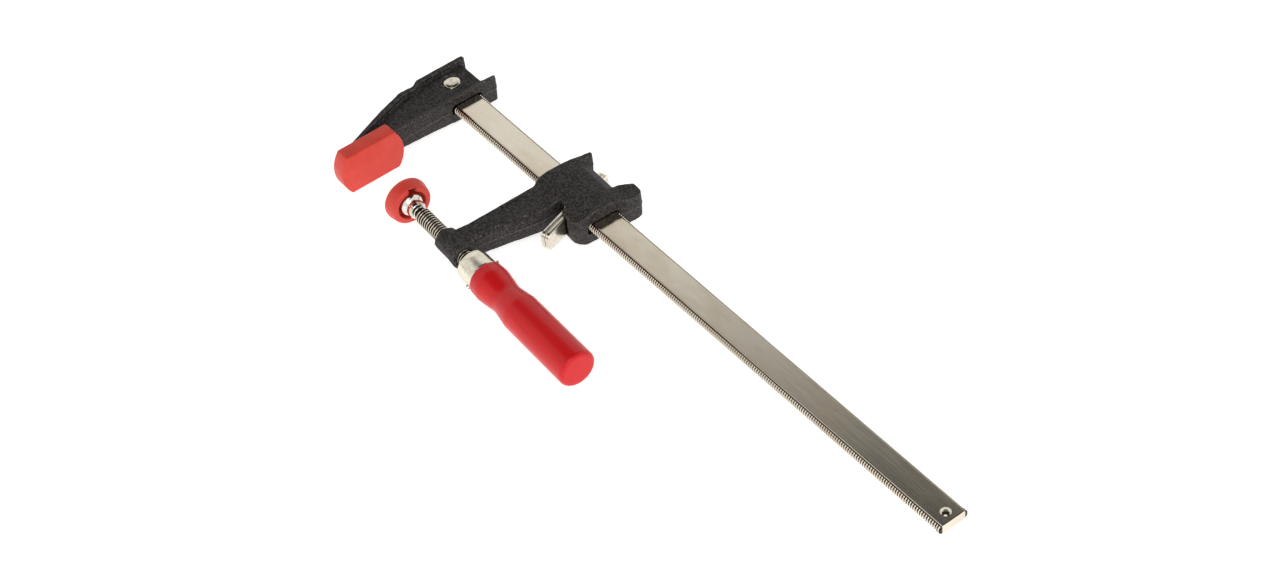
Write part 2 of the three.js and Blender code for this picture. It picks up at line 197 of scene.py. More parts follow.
def inset(points, amount):
    """The outline moved inwards; it runs anticlockwise."""
    ring = np.array(points, float)
    before = ring - np.roll(ring, 1, axis=0)
    after = np.roll(ring, -1, axis=0) - ring
    before /= np.maximum(np.linalg.norm(before, axis=1, keepdims=True), 1e-9)
    after /= np.maximum(np.linalg.norm(after, axis=1, keepdims=True), 1e-9)
    inward = np.stack([-(before + after)[:, 1], (before + after)[:, 0]], axis=1)
    inward /= np.maximum((inward * inward).sum(1, keepdims=True) / 2, 0.3)
    return ring + inward * amount


def prism(name, points, low, high, edge=0.0, steps=3):
    """An outline in XY stood up between two heights, its rims rounded by edge."""
    area = sum(a[0] * b[1] - b[0] * a[1] for a, b in zip(points, points[1:] + points[:1]))
    if area < 0:
        points = points[::-1]
    layers = []
    if edge:
        for k in range(steps):
            angle = math.pi / 2 * k / steps
            layers.append((edge * (1 - math.sin(angle)), low + edge * (1 - math.cos(angle))))
        layers.append((0, low + edge))
        layers += [(amount, low + high - z) for amount, z in reversed(layers)]
    else:
        layers = [(0, low), (0, high)]
    verts = []
    for amount, z in layers:
        verts += [(x, y, z) for x, y in inset(points, amount)]
    count = len(points)
    faces = [tuple(range(count)), tuple(range(len(verts) - count, len(verts)))]
    for layer in range(len(layers) - 1):
        for i in range(count):
            a = layer * count + i
            b = layer * count + (i + 1) % count
            faces.append((a, b, b + count, a + count))
    return solid(name, verts, faces)


def turned(name, profile, segments=72):
    """A closed profile of (x, radius) points turned about the X axis."""
    verts = []
    for x, radius in profile:
        for k in range(segments):
            angle = 2 * math.pi * k / segments
            verts.append((x, radius * math.cos(angle), radius * math.sin(angle)))
    faces = []
    count = len(profile)
    for i in range(count):
        if profile[i][1] < 1e-6 and profile[(i + 1) % count][1] < 1e-6:
            continue
        for k in range(segments):
            a = i * segments + k
            b = i * segments + (k + 1) % segments
            c = (i + 1) % count * segments
            faces.append((a, b, c + (k + 1) % segments, c + k))
    return solid(name, verts, faces)


def rod(x0, x1, radius, segments=48, edge=0.0):
    """A plain rod along X, its ends rounded by edge."""
    corners = [(x0, 0), (x0, radius, edge), (x1, radius, edge), (x1, 0)]
    return turned("rod", rounded(corners), segments)


def tube(name, path, radius, sides=12, closed=False):
    """A round wire along a path of points."""
    points = [Vector(p) for p in path]
    count = len(points)
    verts = []
    normal = None
    for i, point in enumerate(points):
        ahead = points[(i + 1) % count] if closed else points[min(i + 1, count - 1)]
        behind = points[i - 1] if closed else points[max(i - 1, 0)]
        along = (ahead - behind).normalized()
        if normal is None:
            normal = along.orthogonal().normalized()
        normal = (normal - along * normal.dot(along)).normalized()
        across = along.cross(normal)
        for k in range(sides):
            angle = 2 * math.pi * k / sides
            verts.append(point + radius * (math.cos(angle) * normal + math.sin(angle) * across))
    faces = []
    for i in range(count if closed else count - 1):
        for k in range(sides):
            a = i * sides + k
            b = i * sides + (k + 1) % sides
            c = (i + 1) % count * sides
            faces.append((a, b, c + (k + 1) % sides, c + k))
    if not closed:
        faces.append(tuple(range(sides)))
        faces.append(tuple(range(len(verts) - sides, len(verts))))
    return solid(name, verts, faces)


def moved(obj, *steps):
    """The object with its mesh moved by each matrix in turn."""
    for step in steps:
        obj.data.transform(step)
    return obj


def shift(x, y, z):
    """A move by x, y and z."""
    return Matrix.Translation((x, y, z))


def turn(degrees, axis):
    """A turn about one axis through the origin."""
    return Matrix.Rotation(math.radians(degrees), 4, axis)


def settle(obj):
    """Turns an object's modifiers into its mesh."""
    bpy.context.view_layer.update()
    graph = bpy.context.evaluated_depsgraph_get()
    mesh = bpy.data.meshes.new_from_object(obj.evaluated_get(graph))
    obj.modifiers.clear()
    obj.data = mesh
    return obj


def combine(obj, tool, operation):
    """Cuts tool from obj or adds it, and removes the tool."""
    step = obj.modifiers.new("combine", "BOOLEAN")
    step.operation = operation
    step.solver = "EXACT"
    step.object = tool
    settle(obj)
    bpy.data.objects.remove(tool)
    return obj


def cut(obj, tool):
    """Obj without what tool covers."""
    return combine(obj, tool, "DIFFERENCE")


def add(obj, tool):
    """Obj and tool as one solid."""
    return combine(obj, tool, "UNION")


def smooth(obj, angle=35):
    """Smooth shading, with edges sharper than angle kept crisp."""
    work = bmesh.new()
    work.from_mesh(obj.data)
    for face in work.faces:
        face.smooth = True
    for edge in work.edges:
        edge.smooth = len(edge.link_faces) != 2 or edge.calc_face_angle() < math.radians(angle)
    work.to_mesh(obj.data)
    work.free()
    return obj


def cast_copy(node, placement):
    """A copy of a CAD node's solid, in millimetres of its own drawing."""
    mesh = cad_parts[node].data.copy()
    mesh.materials.clear()
    obj = bpy.data.objects.new(node + "_cast", mesh)
    bpy.context.scene.collection.objects.link(obj)
    mesh.transform(Matrix.Scale(1 / MM, 4) @ placement.inverted())
    work = bmesh.new()
    work.from_mesh(mesh)
    bmesh.ops.remove_doubles(work, verts=work.verts, dist=1e-3)
    work.to_mesh(mesh)
    work.free()
    return obj


def as_cast(obj):
    """Rounds every edge as in a casting, with draft from a seam at mid height and a wavy skin.

    The lower half stands in a little from the upper one at the seam.
    """
    step = obj.modifiers.new("remesh", "REMESH")
    step.mode = "VOXEL"
    step.voxel_size = CAST_VOXEL
    settle(obj)
    step = obj.modifiers.new("soften", "SMOOTH")
    step.factor = 0.5
    step.iterations = CAST_SOFTENING
    settle(obj)
    mesh = obj.data
    count = len(mesh.vertices)
    places = np.empty(count * 3)
    normals = np.empty(count * 3)
    mesh.vertices.foreach_get("co", places)
    mesh.vertex_normals.foreach_get("vector", normals)
    places = places.reshape(-1, 3)
    normals = normals.reshape(-1, 3)
    height = np.abs(places[:, 2])
    seam = SEAM_HEIGHT * np.exp(-((height / SEAM_WIDTH) ** 2))
    set_in = SEAM_STEP / (1 + np.exp(places[:, 2] / SEAM_WIDTH * 4))
    bumps = np.array([noise.noise(Vector(p) / CAST_WAVE_SIZE) for p in places])
    waves = bumps * CAST_WAVES - CAST_WAVES / 2
    sideways = normals * np.array([1, 1, 0])
    grown = CAST_GROWTH + seam - set_in - CAST_DRAFT * height
    places += sideways * grown[:, None] + normals * waves[:, None]
    mesh.vertices.foreach_set("co", places.ravel())
    mesh.update()
    for polygon in mesh.polygons:
        polygon.use_smooth = True
    return obj


# ---- finishes ----
RANGE_SOCKETS = ("From Min", "From Max", "To Min", "To Max")


class Finish:
    """A material with one Principled shader and patterns in the piece's own coordinates."""

    def __init__(self, name, **sockets):
        self.material = bpy.data.materials.new(name)
        self.material.use_nodes = True
        self.tree = self.material.node_tree
        self.shader = self.tree.nodes["Principled BSDF"]
        for socket, value in sockets.items():
            self.shader.inputs[socket.replace("_", " ")].default_value = value
        self.place = self.node("ShaderNodeTexCoord").outputs["Object"]

    def node(self, kind, **inputs):
        """A new shader node with the given inputs, each a number or another node's output."""
        made = self.tree.nodes.new(kind)
        for socket, value in inputs.items():
            self.feed(made.inputs[socket.replace("_", " ")], value)
        return made

    def feed(self, socket, value):
        """Links value to the socket, or sets it there."""
        if isinstance(value, bpy.types.NodeSocket):
            self.tree.links.new(value, socket)
        else:
            socket.default_value = value

    def noise(self, size, detail=2.0, stretch=(1, 1, 1), seed=0.0):
        """Noise with blobs of about size millimetres, drawn out along each axis by stretch."""
        mapping = self.node("ShaderNodeMapping", Vector=self.place)
        mapping.inputs["Scale"].default_value = [1 / (size * MM * s) for s in stretch]
        mapping.inputs["Location"].default_value = (seed, seed, seed)
        made = self.node("ShaderNodeTexNoise", Vector=mapping.outputs[0], Scale=1.0, Detail=detail)
        return made.outputs[0]

    def spread(self, value, low, high, to_low=0.0, to_high=1.0):
        """Value from low to high, spread over to_low to to_high and held there."""
        made = self.node("ShaderNodeMapRange", Value=value)
        for socket, number in zip(RANGE_SOCKETS, (low, high, to_low, to_high)):
            made.inputs[socket].default_value = number
        return made.outputs[0]

    def blend(self, factor, first, second):
        """A colour between first and second."""
        made = self.tree.nodes.new("ShaderNodeMix")
        made.data_type = "RGBA"
        self.feed(made.inputs[0], factor)
        self.feed(made.inputs[6], (*first, 1) if isinstance(first, tuple) else first)
        self.feed(made.inputs[7], (*second, 1) if isinstance(second, tuple) else second)
        return made.outputs[2]

    def math(self, operation, first, second=0.0):
        """The outcome of one sum, on one or two values."""
        made = self.tree.nodes.new("ShaderNodeMath")
        made.operation = operation
        self.feed(made.inputs[0], first)
        self.feed(made.inputs[1], second)
        return made.outputs[0]

    def axis(self, number):
        """One coordinate of the piece's own drawing, in metres."""
        return self.node("ShaderNodeSeparateXYZ", Vector=self.place).outputs[number]

    def bump(self, height, distance, under=None, strength=1.0):
        """A bump whose full height is distance millimetres, laid over another one."""
        made = self.node("ShaderNodeBump", Height=height, Distance=distance * MM, Strength=strength)
        if under is not None:
            self.feed(made.inputs["Normal"], under)
        return made.outputs[0]

    def use(self, **sockets):
        """Feeds the shader's own sockets and gives back the finished material."""
        for socket, value in sockets.items():
            self.feed(self.shader.inputs[socket.replace("_", " ")], value)
        return self.material


def bar_nickel():
    """Smooth nickel plate; the roots of the teeth and the groove beside them are painted dark as shade.
    """
    clean = (0.72, 0.662, 0.56)
    stained = (0.66, 0.575, 0.44)
    brushed = (0.82, 0.77, 0.68)
    specked = (0.45, 0.4, 0.3)
    # dark is the colour of the painted shade in the groove and the tooth gaps
    dark = (0.025, 0.018, 0.014)
    gap_middle = (GAP_START + GAP_END) / 2
    f = Finish("bar_nickel", Metallic=1.0)
    streaks = f.noise(0.35, 3.0, (60, 1, 1))
    stains = f.noise(14, 4.0, (2.2, 1, 1), 3.0)
    specks = f.noise(0.8, 1.0, (1, 1, 1), 7.0)
    colour = f.blend(f.spread(stains, 0.4, 0.72), clean, stained)
    colour = f.blend(f.spread(streaks, 0.35, 0.75, 0, 0.3), colour, brushed)
    colour = f.blend(f.spread(specks, 0.7, 0.78, 0, 0.3), colour, specked)
    side = f.math("ABSOLUTE", f.axis(1))
    groove_middle = GROOVE_Y * MM
    off_groove = f.math("ABSOLUTE", f.math("SUBTRACT", side, groove_middle))
    groove = f.spread(off_groove, 0.5 * GROOVE_WIDTH * MM, 0.2 * GROOVE_WIDTH * MM)
    along_tooth = f.math("FRACT", f.math("DIVIDE", f.axis(0), TOOTH_PITCH * MM))
    off_gap = f.math("ABSOLUTE", f.math("SUBTRACT", along_tooth, gap_middle))
    gap = f.spread(off_gap, 0.3, 0.2)
    beyond = f.spread(side, groove_middle, groove_middle + 0.4 * GROOVE_WIDTH * MM)
    # Painted shade: the groove and the tooth gaps beyond it are darkened towards dark.
    painted_shade = f.math("MAXIMUM", groove, f.math("MULTIPLY", gap, beyond))
    colour = f.blend(painted_shade, colour, dark)
    rough = f.math("ADD", f.spread(streaks, 0.3, 0.7, 0.12, 0.16), f.spread(stains, 0.4, 0.7, 0, 0.04))
    normal = f.bump(streaks, 0.004, f.bump(f.noise(9, 2.0, (3, 1, 1), 5.0), 0.02))
    return f.use(Base_Color=colour, Roughness=rough, Normal=normal)


def plated(name, tint, roughness, grain):
    """Nickel plating with a fine grain drawn out along the given axes."""
    f = Finish(name, Metallic=1.0)
    fine = f.noise(0.3, 2.0, grain)
    cloud = f.noise(3.0, 3.0, (1, 1, 1), 4.0)
    darker = tuple(c * 0.78 for c in tint)
    colour = f.blend(f.spread(cloud, 0.4, 0.7), tint, darker)
    rough = f.math("ADD", f.spread(fine, 0.3, 0.7, roughness - 0.04, roughness + 0.04),
                   f.spread(cloud, 0.35, 0.7, 0, 0.05))
    normal = f.bump(fine, 0.006, f.bump(cloud, 0.02))
    return f.use(Base_Color=colour, Roughness=rough, Normal=normal)


def thread_steel():
    """Plated like the rest, with painted shade in the roots of the thread and a painted shadow on the
    neck before it.
    """
    clean = (0.78, 0.73, 0.62)
    stained = (0.66, 0.6, 0.48)
    dark = (0.016, 0.012, 0.009)
    f = Finish("thread_steel", Metallic=1.0)
    cloud = f.noise(3.0, 3.0, (1, 1, 1), 4.0)
    squares = f.math("ADD", f.math("POWER", f.axis(1), 2.0), f.math("POWER", f.axis(2), 2.0))
    reach = f.math("SQRT", squares)
    core = (THREAD_RADIUS - THREAD_DEPTH) * MM
    crest = THREAD_RADIUS * MM
    # Painted shade in the roots of the thread.
    root = f.spread(reach, core + 0.97 * (crest - core), core + 0.6 * (crest - core))
    threaded = f.spread(f.axis(0), (THREAD_START - 0.2) * MM, THREAD_START * MM)
    colour = f.blend(f.spread(cloud, 0.4, 0.7), clean, stained)
    # Painted shadow on the neck, in the gap between the collar and the thread.
    neck = f.math("SUBTRACT", 1.0, threaded)
    colour = f.blend(f.math("MAXIMUM", root, neck), colour, dark)
    rough = f.spread(cloud, 0.35, 0.7, 0.14, 0.22)
    return f.use(Base_Color=colour, Roughness=rough, Normal=f.bump(cloud, 0.02))


def black_casting():
    """Fine-textured black coat with dusty specks; its edges and seam are lightened, partly as worn bare
    metal and partly as painted highlight.
    """
    hollows = (0.003, 0.0024, 0.0026)
    crests = (0.05, 0.042, 0.04)
    worn = (0.03, 0.027, 0.024)
    dusty = (0.095, 0.086, 0.083)
    bare_and_highlight = (0.22, 0.2, 0.19)
    f = Finish("black_casting", Specular_IOR_Level=0.28)
    grain = f.noise(1.3, 3.0)
    pebbles = f.noise(1.7, 2.0, (1, 1, 1), 2.0)
    dust = f.noise(0.7, 2.0, (1, 1, 1), 9.0)
    wear = f.noise(12, 3.0, (1, 1, 1), 6.0)
    edge = f.spread(f.node("ShaderNodeNewGeometry").outputs["Pointiness"], 0.505, 0.56)
    seam = f.spread(f.math("ABSOLUTE", f.axis(2)), 0.45 * MM, 0.1 * MM)
    colour = f.blend(f.spread(grain, 0.43, 0.6), hollows, crests)
    colour = f.blend(f.spread(wear, 0.3, 0.7, 0, 0.3), colour, worn)
    bright = f.math("MULTIPLY", f.spread(dust, 0.58, 0.7), f.spread(wear, 0.35, 0.65, 0.3, 1.0))
    colour = f.blend(bright, colour, dusty)
    # Edges and seam lightened: partly wear to bare metal, partly painted highlight where rounded edges
    # catch the light.
    wear_and_painted_highlight = f.math("MULTIPLY", f.math("MAXIMUM", edge, seam), f.spread(dust, 0.45, 0.68))
    colour = f.blend(wear_and_painted_highlight, colour, bare_and_highlight)
    rough = f.spread(grain, 0.3, 0.7, 0.5, 0.66)
    normal = f.bump(grain, 0.28, f.bump(pebbles, 0.24))
    return f.use(Base_Color=colour, Roughness=rough, Normal=normal)


def red_plastic():
    """Moulded red plastic, faintly cloudy."""
    light = (0.68, 0.055, 0.035)
    deep = (0.61, 0.046, 0.03)
    f = Finish("red_plastic", Specular_IOR_Level=0.35, Subsurface_Weight=0.05)
    f.shader.inputs["Subsurface Radius"].default_value = (1.0, 0.25, 0.15)
    f.shader.inputs["Subsurface Scale"].default_value = 1.5 * MM
    cloud = f.noise(7, 3.0)
    grain = f.noise(0.6, 2.0, (1, 1, 1), 3.0)
    colour = f.blend(f.spread(cloud, 0.35, 0.7), light, deep)
    rough = f.math("ADD", f.spread(grain, 0.3, 0.7, 0.38, 0.48), f.spread(cloud, 0.35, 0.7, 0, 0.06))
    normal = f.bump(grain, 0.025, f.bump(cloud, 0.08))
    return f.use(Base_Color=colour, Roughness=rough, Normal=normal)


def red_lacquered_wood():
    """Red lacquer over wood whose grain and pores run along the grip."""
    light = (0.64, 0.004, 0.008)
    deep = (0.54, 0.003, 0.006)
    warm = (0.66, 0.012, 0.014)
    pored = (0.3, 0.003, 0.006)
    f = Finish("red_lacquered_wood", Coat_Weight=0.25, Coat_Roughness=0.06, Coat_IOR=1.45)
    f.shader.inputs["Specular IOR Level"].default_value = 0.22
    grain = f.noise(0.9, 4.0, (22, 1, 1))
    pores = f.noise(0.28, 1.0, (14, 1, 1), 5.0)
    cloud = f.noise(12, 2.0, (2, 1, 1), 2.0)
    colour = f.blend(f.spread(grain, 0.3, 0.75), light, deep)
    colour = f.blend(f.spread(cloud, 0.35, 0.7, 0, 0.3), colour, warm)
    colour = f.blend(f.spread(pores, 0.66, 0.78, 0, 0.4), colour, pored)
    rough = f.spread(grain, 0.3, 0.7, 0.34, 0.46)
    normal = f.bump(grain, 0.02, f.bump(cloud, 0.08))
    f.feed(f.shader.inputs["Coat Normal"], f.bump(f.noise(2.5, 2.0, (4, 1, 1), 8.0), 0.02))
    return f.use(Base_Color=colour, Roughness=rough, Normal=normal)


BAR_NICKEL = bar_nickel()
BLACK_CASTING = black_casting()
RED_PLASTIC = red_plastic()
RED_WOOD = red_lacquered_wood()
BRIGHT_STEEL = plated("plated_steel", (0.8, 0.77, 0.7), 0.09, (1, 1, 1))
PLATE_STEEL = plated("clutch_plate_steel", (0.78, 0.73, 0.63), 0.2, (1, 12, 1))
THREAD_STEEL = thread_steel()
FERRULE_NICKEL = plated("ferrule_nickel", (0.78, 0.73, 0.61), 0.2, (1, 1, 1))


def keep(obj, name, placement, body, slot, material, *nodes):
    """The finished piece: in metres, in place, on its body, standing for its CAD nodes."""
    obj.name = name
    obj.data.name = name
    obj.data.transform(Matrix.Scale(MM, 4))
    obj.matrix_world = placement
    obj.data.materials.clear()
    obj.data.materials.append(material)
    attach(obj, body)
    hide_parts(*nodes)
    return obj


# ---- bar ----
def make_bar():
    """Cross sections along the bar, with a crest and a gap of the toothed edges in each pitch."""
    top = BAR_THICKNESS / 2
    tooth = top - BAR_CHAMFER
    side = BAR_WIDTH / 2
    face = side - BAR_CHAMFER
    root = side - TOOTH_DEPTH
    soft = 0.22
    end_edge = 0.5

    def section(reach, shrink=0.0):
        """One cross section, whose toothed edges reach out this far; shrink takes it in all round."""
        sunk = side - reach
        half = [
            (reach, 0),
            (reach, tooth - sunk * 0.4),
            (root - sunk * 0.6, tooth + 0.7 - sunk),
            (GROOVE_Y + 0.35 * GROOVE_WIDTH, top - 0.55 - sunk * 0.5),
            (GROOVE_Y, top - 0.85),
            (GROOVE_Y - 0.35 * GROOVE_WIDTH, top - 0.3),
            (face - soft, top - soft * 0.2),
            (face - 2 * soft, top),
        ]
        half = [(max(y - shrink, 0), max(z - shrink, 0)) for y, z in half]
        ring = half + [(-y, z) for y, z in reversed(half)]
        return ring + [(y, -z) for y, z in reversed(ring[1:-1])]

    stations = [(BAR_START, section(root))]
    teeth = int((BAR_END - 3) / TOOTH_PITCH)
    for i in range(teeth):
        x = i * TOOTH_PITCH
        stations.append((x, section(side)))
        stations.append((x + CREST_END * TOOTH_PITCH, section(side)))
        stations.append((x + GAP_START * TOOTH_PITCH, section(root)))
        stations.append((x + GAP_END * TOOTH_PITCH, section(root)))
    stations.append((teeth * TOOTH_PITCH, section(side)))
    stations.append((BAR_END - end_edge, section(side)))
    stations.append((BAR_END - end_edge * 0.3, section(side, end_edge * 0.3)))
    stations.append((BAR_END, section(side, end_edge)))
    verts = [(x, y, z) for x, ring in stations for y, z in ring]
    count = len(stations[0][1])
    faces = [tuple(range(count)), tuple(range(len(verts) - count, len(verts)))]
    for s in range(len(stations) - 1):
        for i in range(count):
            a = s * count + i
            b = s * count + (i + 1) % count
            faces.append((a, b, b + count, a + count))
    bar = solid("bar_made", verts, faces)
    hole = rod(-10, 10, FIXED_PIN_RADIUS + PIN_ROOM)
    moved(hole, turn(-90, "Y"), shift(FIXED_PIN_X, FIXED_PIN_Y, 0))
    cut(bar, hole)
    stop = [
        (top - 1, 0),
        (top - 1, STOP_RADIUS),
        (top, STOP_RADIUS),
        (top + STOP_HEIGHT * 0.45, STOP_RADIUS * 0.8, 0.9),
        (top + STOP_HEIGHT, STOP_RADIUS * 0.4, 0.9),
        (top + STOP_HEIGHT, 0),
    ]
    dome = moved(turned("stop", rounded(stop), 40), turn(-90, "Y"))
    add(bar, moved(dome, shift(BAR_END - STOP_FROM_END, 0, 0)))
    smooth(bar, 8)
    keep(bar, "bar_nickel_plated", WORK, "frame", "bar_nickel", BAR_NICKEL, "bar")


# ---- fixed jaw ----
def make_fixed_jaw():
    """The casting, with a countersink round the rivet and a long slope up to the clamping side."""
    sink_depth = 5.2
    sink_radius = 5.6
    sink_top = 9.5
    sink_top_radius = 9
    slope_start = -8.6
    slope_end = -0.9
    slope_low = 6
    slope_high = 8.9
    slope_top = 14
    jaw = cast_copy("fixed_jaw", WORK)
    for side in (1, -1):
        cone = turned(
            "cone",
            [(sink_depth, 0), (sink_depth, sink_radius), (sink_top, sink_top_radius), (sink_top, 0)],
        )
        cut(jaw, moved(cone, turn(-90 * side, "Y"), shift(FIXED_PIN_X, FIXED_PIN_Y, 0)))
    for side in (1, -1):
        corners = [
            (slope_start, slope_low * side),
            (slope_end, slope_high * side),
            (slope_end, slope_top * side),
            (slope_start, slope_top * side),
        ]
        cut(jaw, moved(prism("slope", corners, -30, 90), turn(90, "X")))
    as_cast(jaw)
    keep(jaw, "fixed_jaw_casting", WORK, "frame", "black_casting", BLACK_CASTING, "fixed_jaw")


def make_fixed_jaw_pin():
    """The rivet through jaw and bar: slightly domed heads and a small punched notch."""
    reach = FIXED_WEB_HALF_HEIGHT + 0.3
    profile = [
        (-reach, 0),
        (-reach + 0.25, FIXED_PIN_RADIUS * 0.7, 2.5),
        (-reach + 0.5, FIXED_PIN_RADIUS, 0.35),
        (reach - 0.5, FIXED_PIN_RADIUS, 0.35),
        (reach - 0.12, FIXED_PIN_RADIUS * 0.7, 2.5),
        (reach, 0),
    ]
    pin = moved(turned("pin", rounded(profile), 64), turn(-90, "Y"), shift(FIXED_PIN_X, FIXED_PIN_Y, 0))
    notch_y = FIXED_PIN_Y - 0.6 * FIXED_PIN_RADIUS
    notch_x = FIXED_PIN_X + 0.8 * FIXED_PIN_RADIUS
    notch_radius = 1.0
    notch = moved(rod(4.5, 10, notch_radius), turn(-90, "Y"), shift(notch_x, notch_y, 0))
    cut(pin, notch)
    smooth(pin)
    keep(pin, "fixed_jaw_rivet", WORK, "frame", "plated_steel", PLATE_STEEL, "fixed_jaw_pin")


def make_fixed_pad():
    """A round pad cut flat above and below, hollow behind where the jaw's end sits."""
    edge = 0.9
    corner_radius = 1.1
    half_width = math.sqrt(PAD_RADIUS**2 - PAD_HALF_HEIGHT**2)
    tip = math.atan2(PAD_HALF_HEIGHT, half_width)
    points = []
    arc_steps = 20
    for side in (0, math.pi):
        for k in range(arc_steps + 1):
            angle = side - tip + 2 * tip * k / arc_steps
            points.append((PAD_RADIUS * math.cos(angle), PAD_RADIUS * math.sin(angle)))
    arc_ends = (0, arc_steps, arc_steps + 1, 2 * arc_steps + 1)
    corners = rounded(
        [(x, y, corner_radius if k in arc_ends else 0) for k, (x, y) in enumerate(points)]
    )
    pad = prism("pad", corners, PAD_BACK_X, PAD_FRONT_X, edge, 4)
    moved(pad, turn(90, "X"), turn(90, "Z"), shift(0, PAD_CENTRE_Y, 0))
    height = JAW_HALF_HEIGHT + 0.35
    pocket_end = -86.35
    pocket_front = -0.55
    outline = [(-20, pocket_end), (pocket_front, pocket_end, 0.8), (pocket_front, 0), (-20, 0)]
    pocket = prism("pocket", rounded(outline), -height, height)
    cut(pad, pocket)
    smooth(pad, 30)
    keep(pad, "fixed_jaw_pad_red", WORK, "frame", "red_plastic", RED_PLASTIC, "fixed_jaw_pad")


# ---- sliding jaw ----
def make_sliding_jaw():
    """The casting, with a broad slope along the upper edge of the arm on the handle's side."""
    arm_angle = -10.6
    slope_place = (-4.4, -43, -0.9)
    slope_start = -15
    slope_end = 24
    jaw = cast_copy("sliding_jaw", JAW)
    corners = [(-3.4, 8.6), (0.8, 4.6), (3, 12), (-3.4, 12)]
    slope = prism("slope", corners, slope_start, slope_end)
    cut(jaw, moved(slope, turn(90, "X"), turn(arm_angle, "Z"), shift(*slope_place)))
    as_cast(jaw)
    keep(jaw, "sliding_jaw_casting", JAW, "jaw", "black_casting", BLACK_CASTING, "sliding_jaw")


def make_clutch_plate(name, body, side):
    """A steel plate with a window for the bar; side is -1 for the inner plate and 1 for the outer."""
    half = PLATE_THICKNESS / 2
    corners = rounded(
        [
            (PLATE_FRONT, -PLATE_HALF_HEIGHT, 3),
            (PLATE_BACK, -PLATE_HALF_HEIGHT, 2),
            (PLATE_BACK, PLATE_HALF_HEIGHT, 2),
            (PLATE_FRONT, PLATE_HALF_HEIGHT, 3),
        ],
        8,
    )
    plate = prism("plate", corners, -half, half, 0.45, 4)
    moved(plate, turn(90, "X"), turn(90, "Z"))
    window = BAR_WIDTH / 2 + 1.7
    window_half_height = BAR_THICKNESS / 2 + 0.5
    outline = [(-9, -window), (9, -window), (9, window), (-9, window)]
    cut(plate, prism("window", outline, -window_half_height, window_half_height))
    offset = side * (PLATE_THICKNESS + PLATE_GAP) / 2
    moved(plate, shift(offset, 0, 0), turn(PLATE_TILT, "Z"), shift(PLATE_X, 0, 0))
    smooth(plate, 30)
    keep(plate, name + "_nickel", JAW, body, "clutch_plate_steel", PLATE_STEEL, name)


def make_clutch_spring():
    """The coil between the jaw and the plates; the plates press it together as they tilt."""
    turns = 4
    steps = turns * 32
    start = 0.2
    length = 8.4
    centre_y = 13.4
    coil_radius = 1.7
    wire_radius = 0.4
    path = []
    for k in range(steps + 1):
        angle = 2 * math.pi * turns * k / steps
        y = centre_y + coil_radius * math.cos(angle)
        path.append((start + length * k / steps, y, coil_radius * math.sin(angle)))
    spring = smooth(tube("spring", path, wire_radius), 60)
    keep(spring, "clutch_spring_wire", JAW, "jaw", "plated_steel", BRIGHT_STEEL, "clutch_spring")
    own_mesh(spring)


# ---- screw ----
def make_spindle():
    """The helical thread, with the neck and ball in front of it and a plain shank in the handle."""
    core = THREAD_RADIUS - THREAD_DEPTH
    sides = 60
    station = THREAD_PITCH / 12
    thread_end = FERRULE_FRONT + 0.2
    stations = []
    steps = 14
    neck_angle = math.asin(NECK_RADIUS / BALL_RADIUS)
    for k in range(steps + 1):
        angle = math.pi - (math.pi - neck_angle) * k / steps
        stations.append((BALL_X + BALL_RADIUS * math.cos(angle), BALL_RADIUS * math.sin(angle), 0))
    stations.append((THREAD_START - 0.5, NECK_RADIUS, 0))
    stations.append((THREAD_START, NECK_RADIUS + 0.3, 0))
    stations.append((THREAD_START + 0.02, core - 0.9, 0))
    x = THREAD_START + 0.3
    while x < thread_end:
        lead = min((x - THREAD_START) / 2.6, 1)
        stations.append((x, core - 0.55 * (1 - lead), lead * min((thread_end - x) / 2, 1)))
        x += station
    stations.append((FERRULE_FRONT + 0.6, core, 0))
    stations.append((GRIP_START + 24.6, core, 0))
    stations.append((GRIP_START + 25, core - 0.4, 0))
    stations.append((GRIP_START + 25, 0, 0))
    verts = []
    for x, radius, amount in stations:
        for k in range(sides):
            angle = 2 * math.pi * k / sides
            phase = (x / THREAD_PITCH - k / sides) % 1
            ridge = min(max(2.4 * (0.5 - abs(phase - 0.5)) - 0.25, 0), 0.8) / 0.8
            reach = radius + amount * THREAD_DEPTH * ridge * ridge * (3 - 2 * ridge)
            verts.append((x, reach * math.cos(angle), reach * math.sin(angle)))
    faces = []
    for s in range(len(stations) - 1):
        for k in range(sides):
            a = s * sides + k
            b = s * sides + (k + 1) % sides
            faces.append((a, b, b + sides, a + sides))
    spindle = solid("spindle_made", verts, faces)
    cut(spindle, across_screw(PIN_RADIUS + PIN_ROOM, 20))
    smooth(spindle, 50)
    keep(spindle, "spindle_threaded", SCREW, "screw", "thread_steel", THREAD_STEEL, "spindle")


def across_screw(radius, half_length, edge=0.0):
    """A rod across the screw where the cross pin goes."""
    pin = rod(-half_length, half_length, radius, 32, edge)
    return moved(pin, turn(90, "Z"), shift(PIN_X, 0, 0), turn(PIN_TURN, "X"))


def make_cross_pin():
    """The pin through ferrule, grip and screw."""
    half_length = 11.5
    pin = smooth(across_screw(PIN_RADIUS, half_length, 0.5))
    keep(pin, "cross_pin_steel", SCREW, "screw", "plated_steel", BRIGHT_STEEL, "cross_pin")


def make_ferrule():
    """The steel sleeve over the front of the grip, closed in front round the screw."""
    wall = 1
    profile = rounded(
        [
            (FERRULE_FRONT, 4.55, 0.3),
            (FERRULE_FRONT, 9.8, 0.6),
            (FERRULE_FRONT + 4, 10.1, 6),
            (GRIP_START - 0.5, 10.4, 0.3),
            (GRIP_START, 10.2, 0.2),
            (GRIP_START, 10.3 - wall),
            (FERRULE_FRONT + 2, 8.9 - wall),
            (FERRULE_FRONT + 1.2, 7.4),
            (FERRULE_FRONT + 1.2, 4.55),
        ]
    )
    ferrule = turned("ferrule_made", profile, 96)
    cut(ferrule, across_screw(PIN_RADIUS + PIN_ROOM, 20))
    smooth(ferrule)
    keep(ferrule, "ferrule_nickel_plated", SCREW, "screw", "ferrule_nickel", FERRULE_NICKEL, "ferrule")


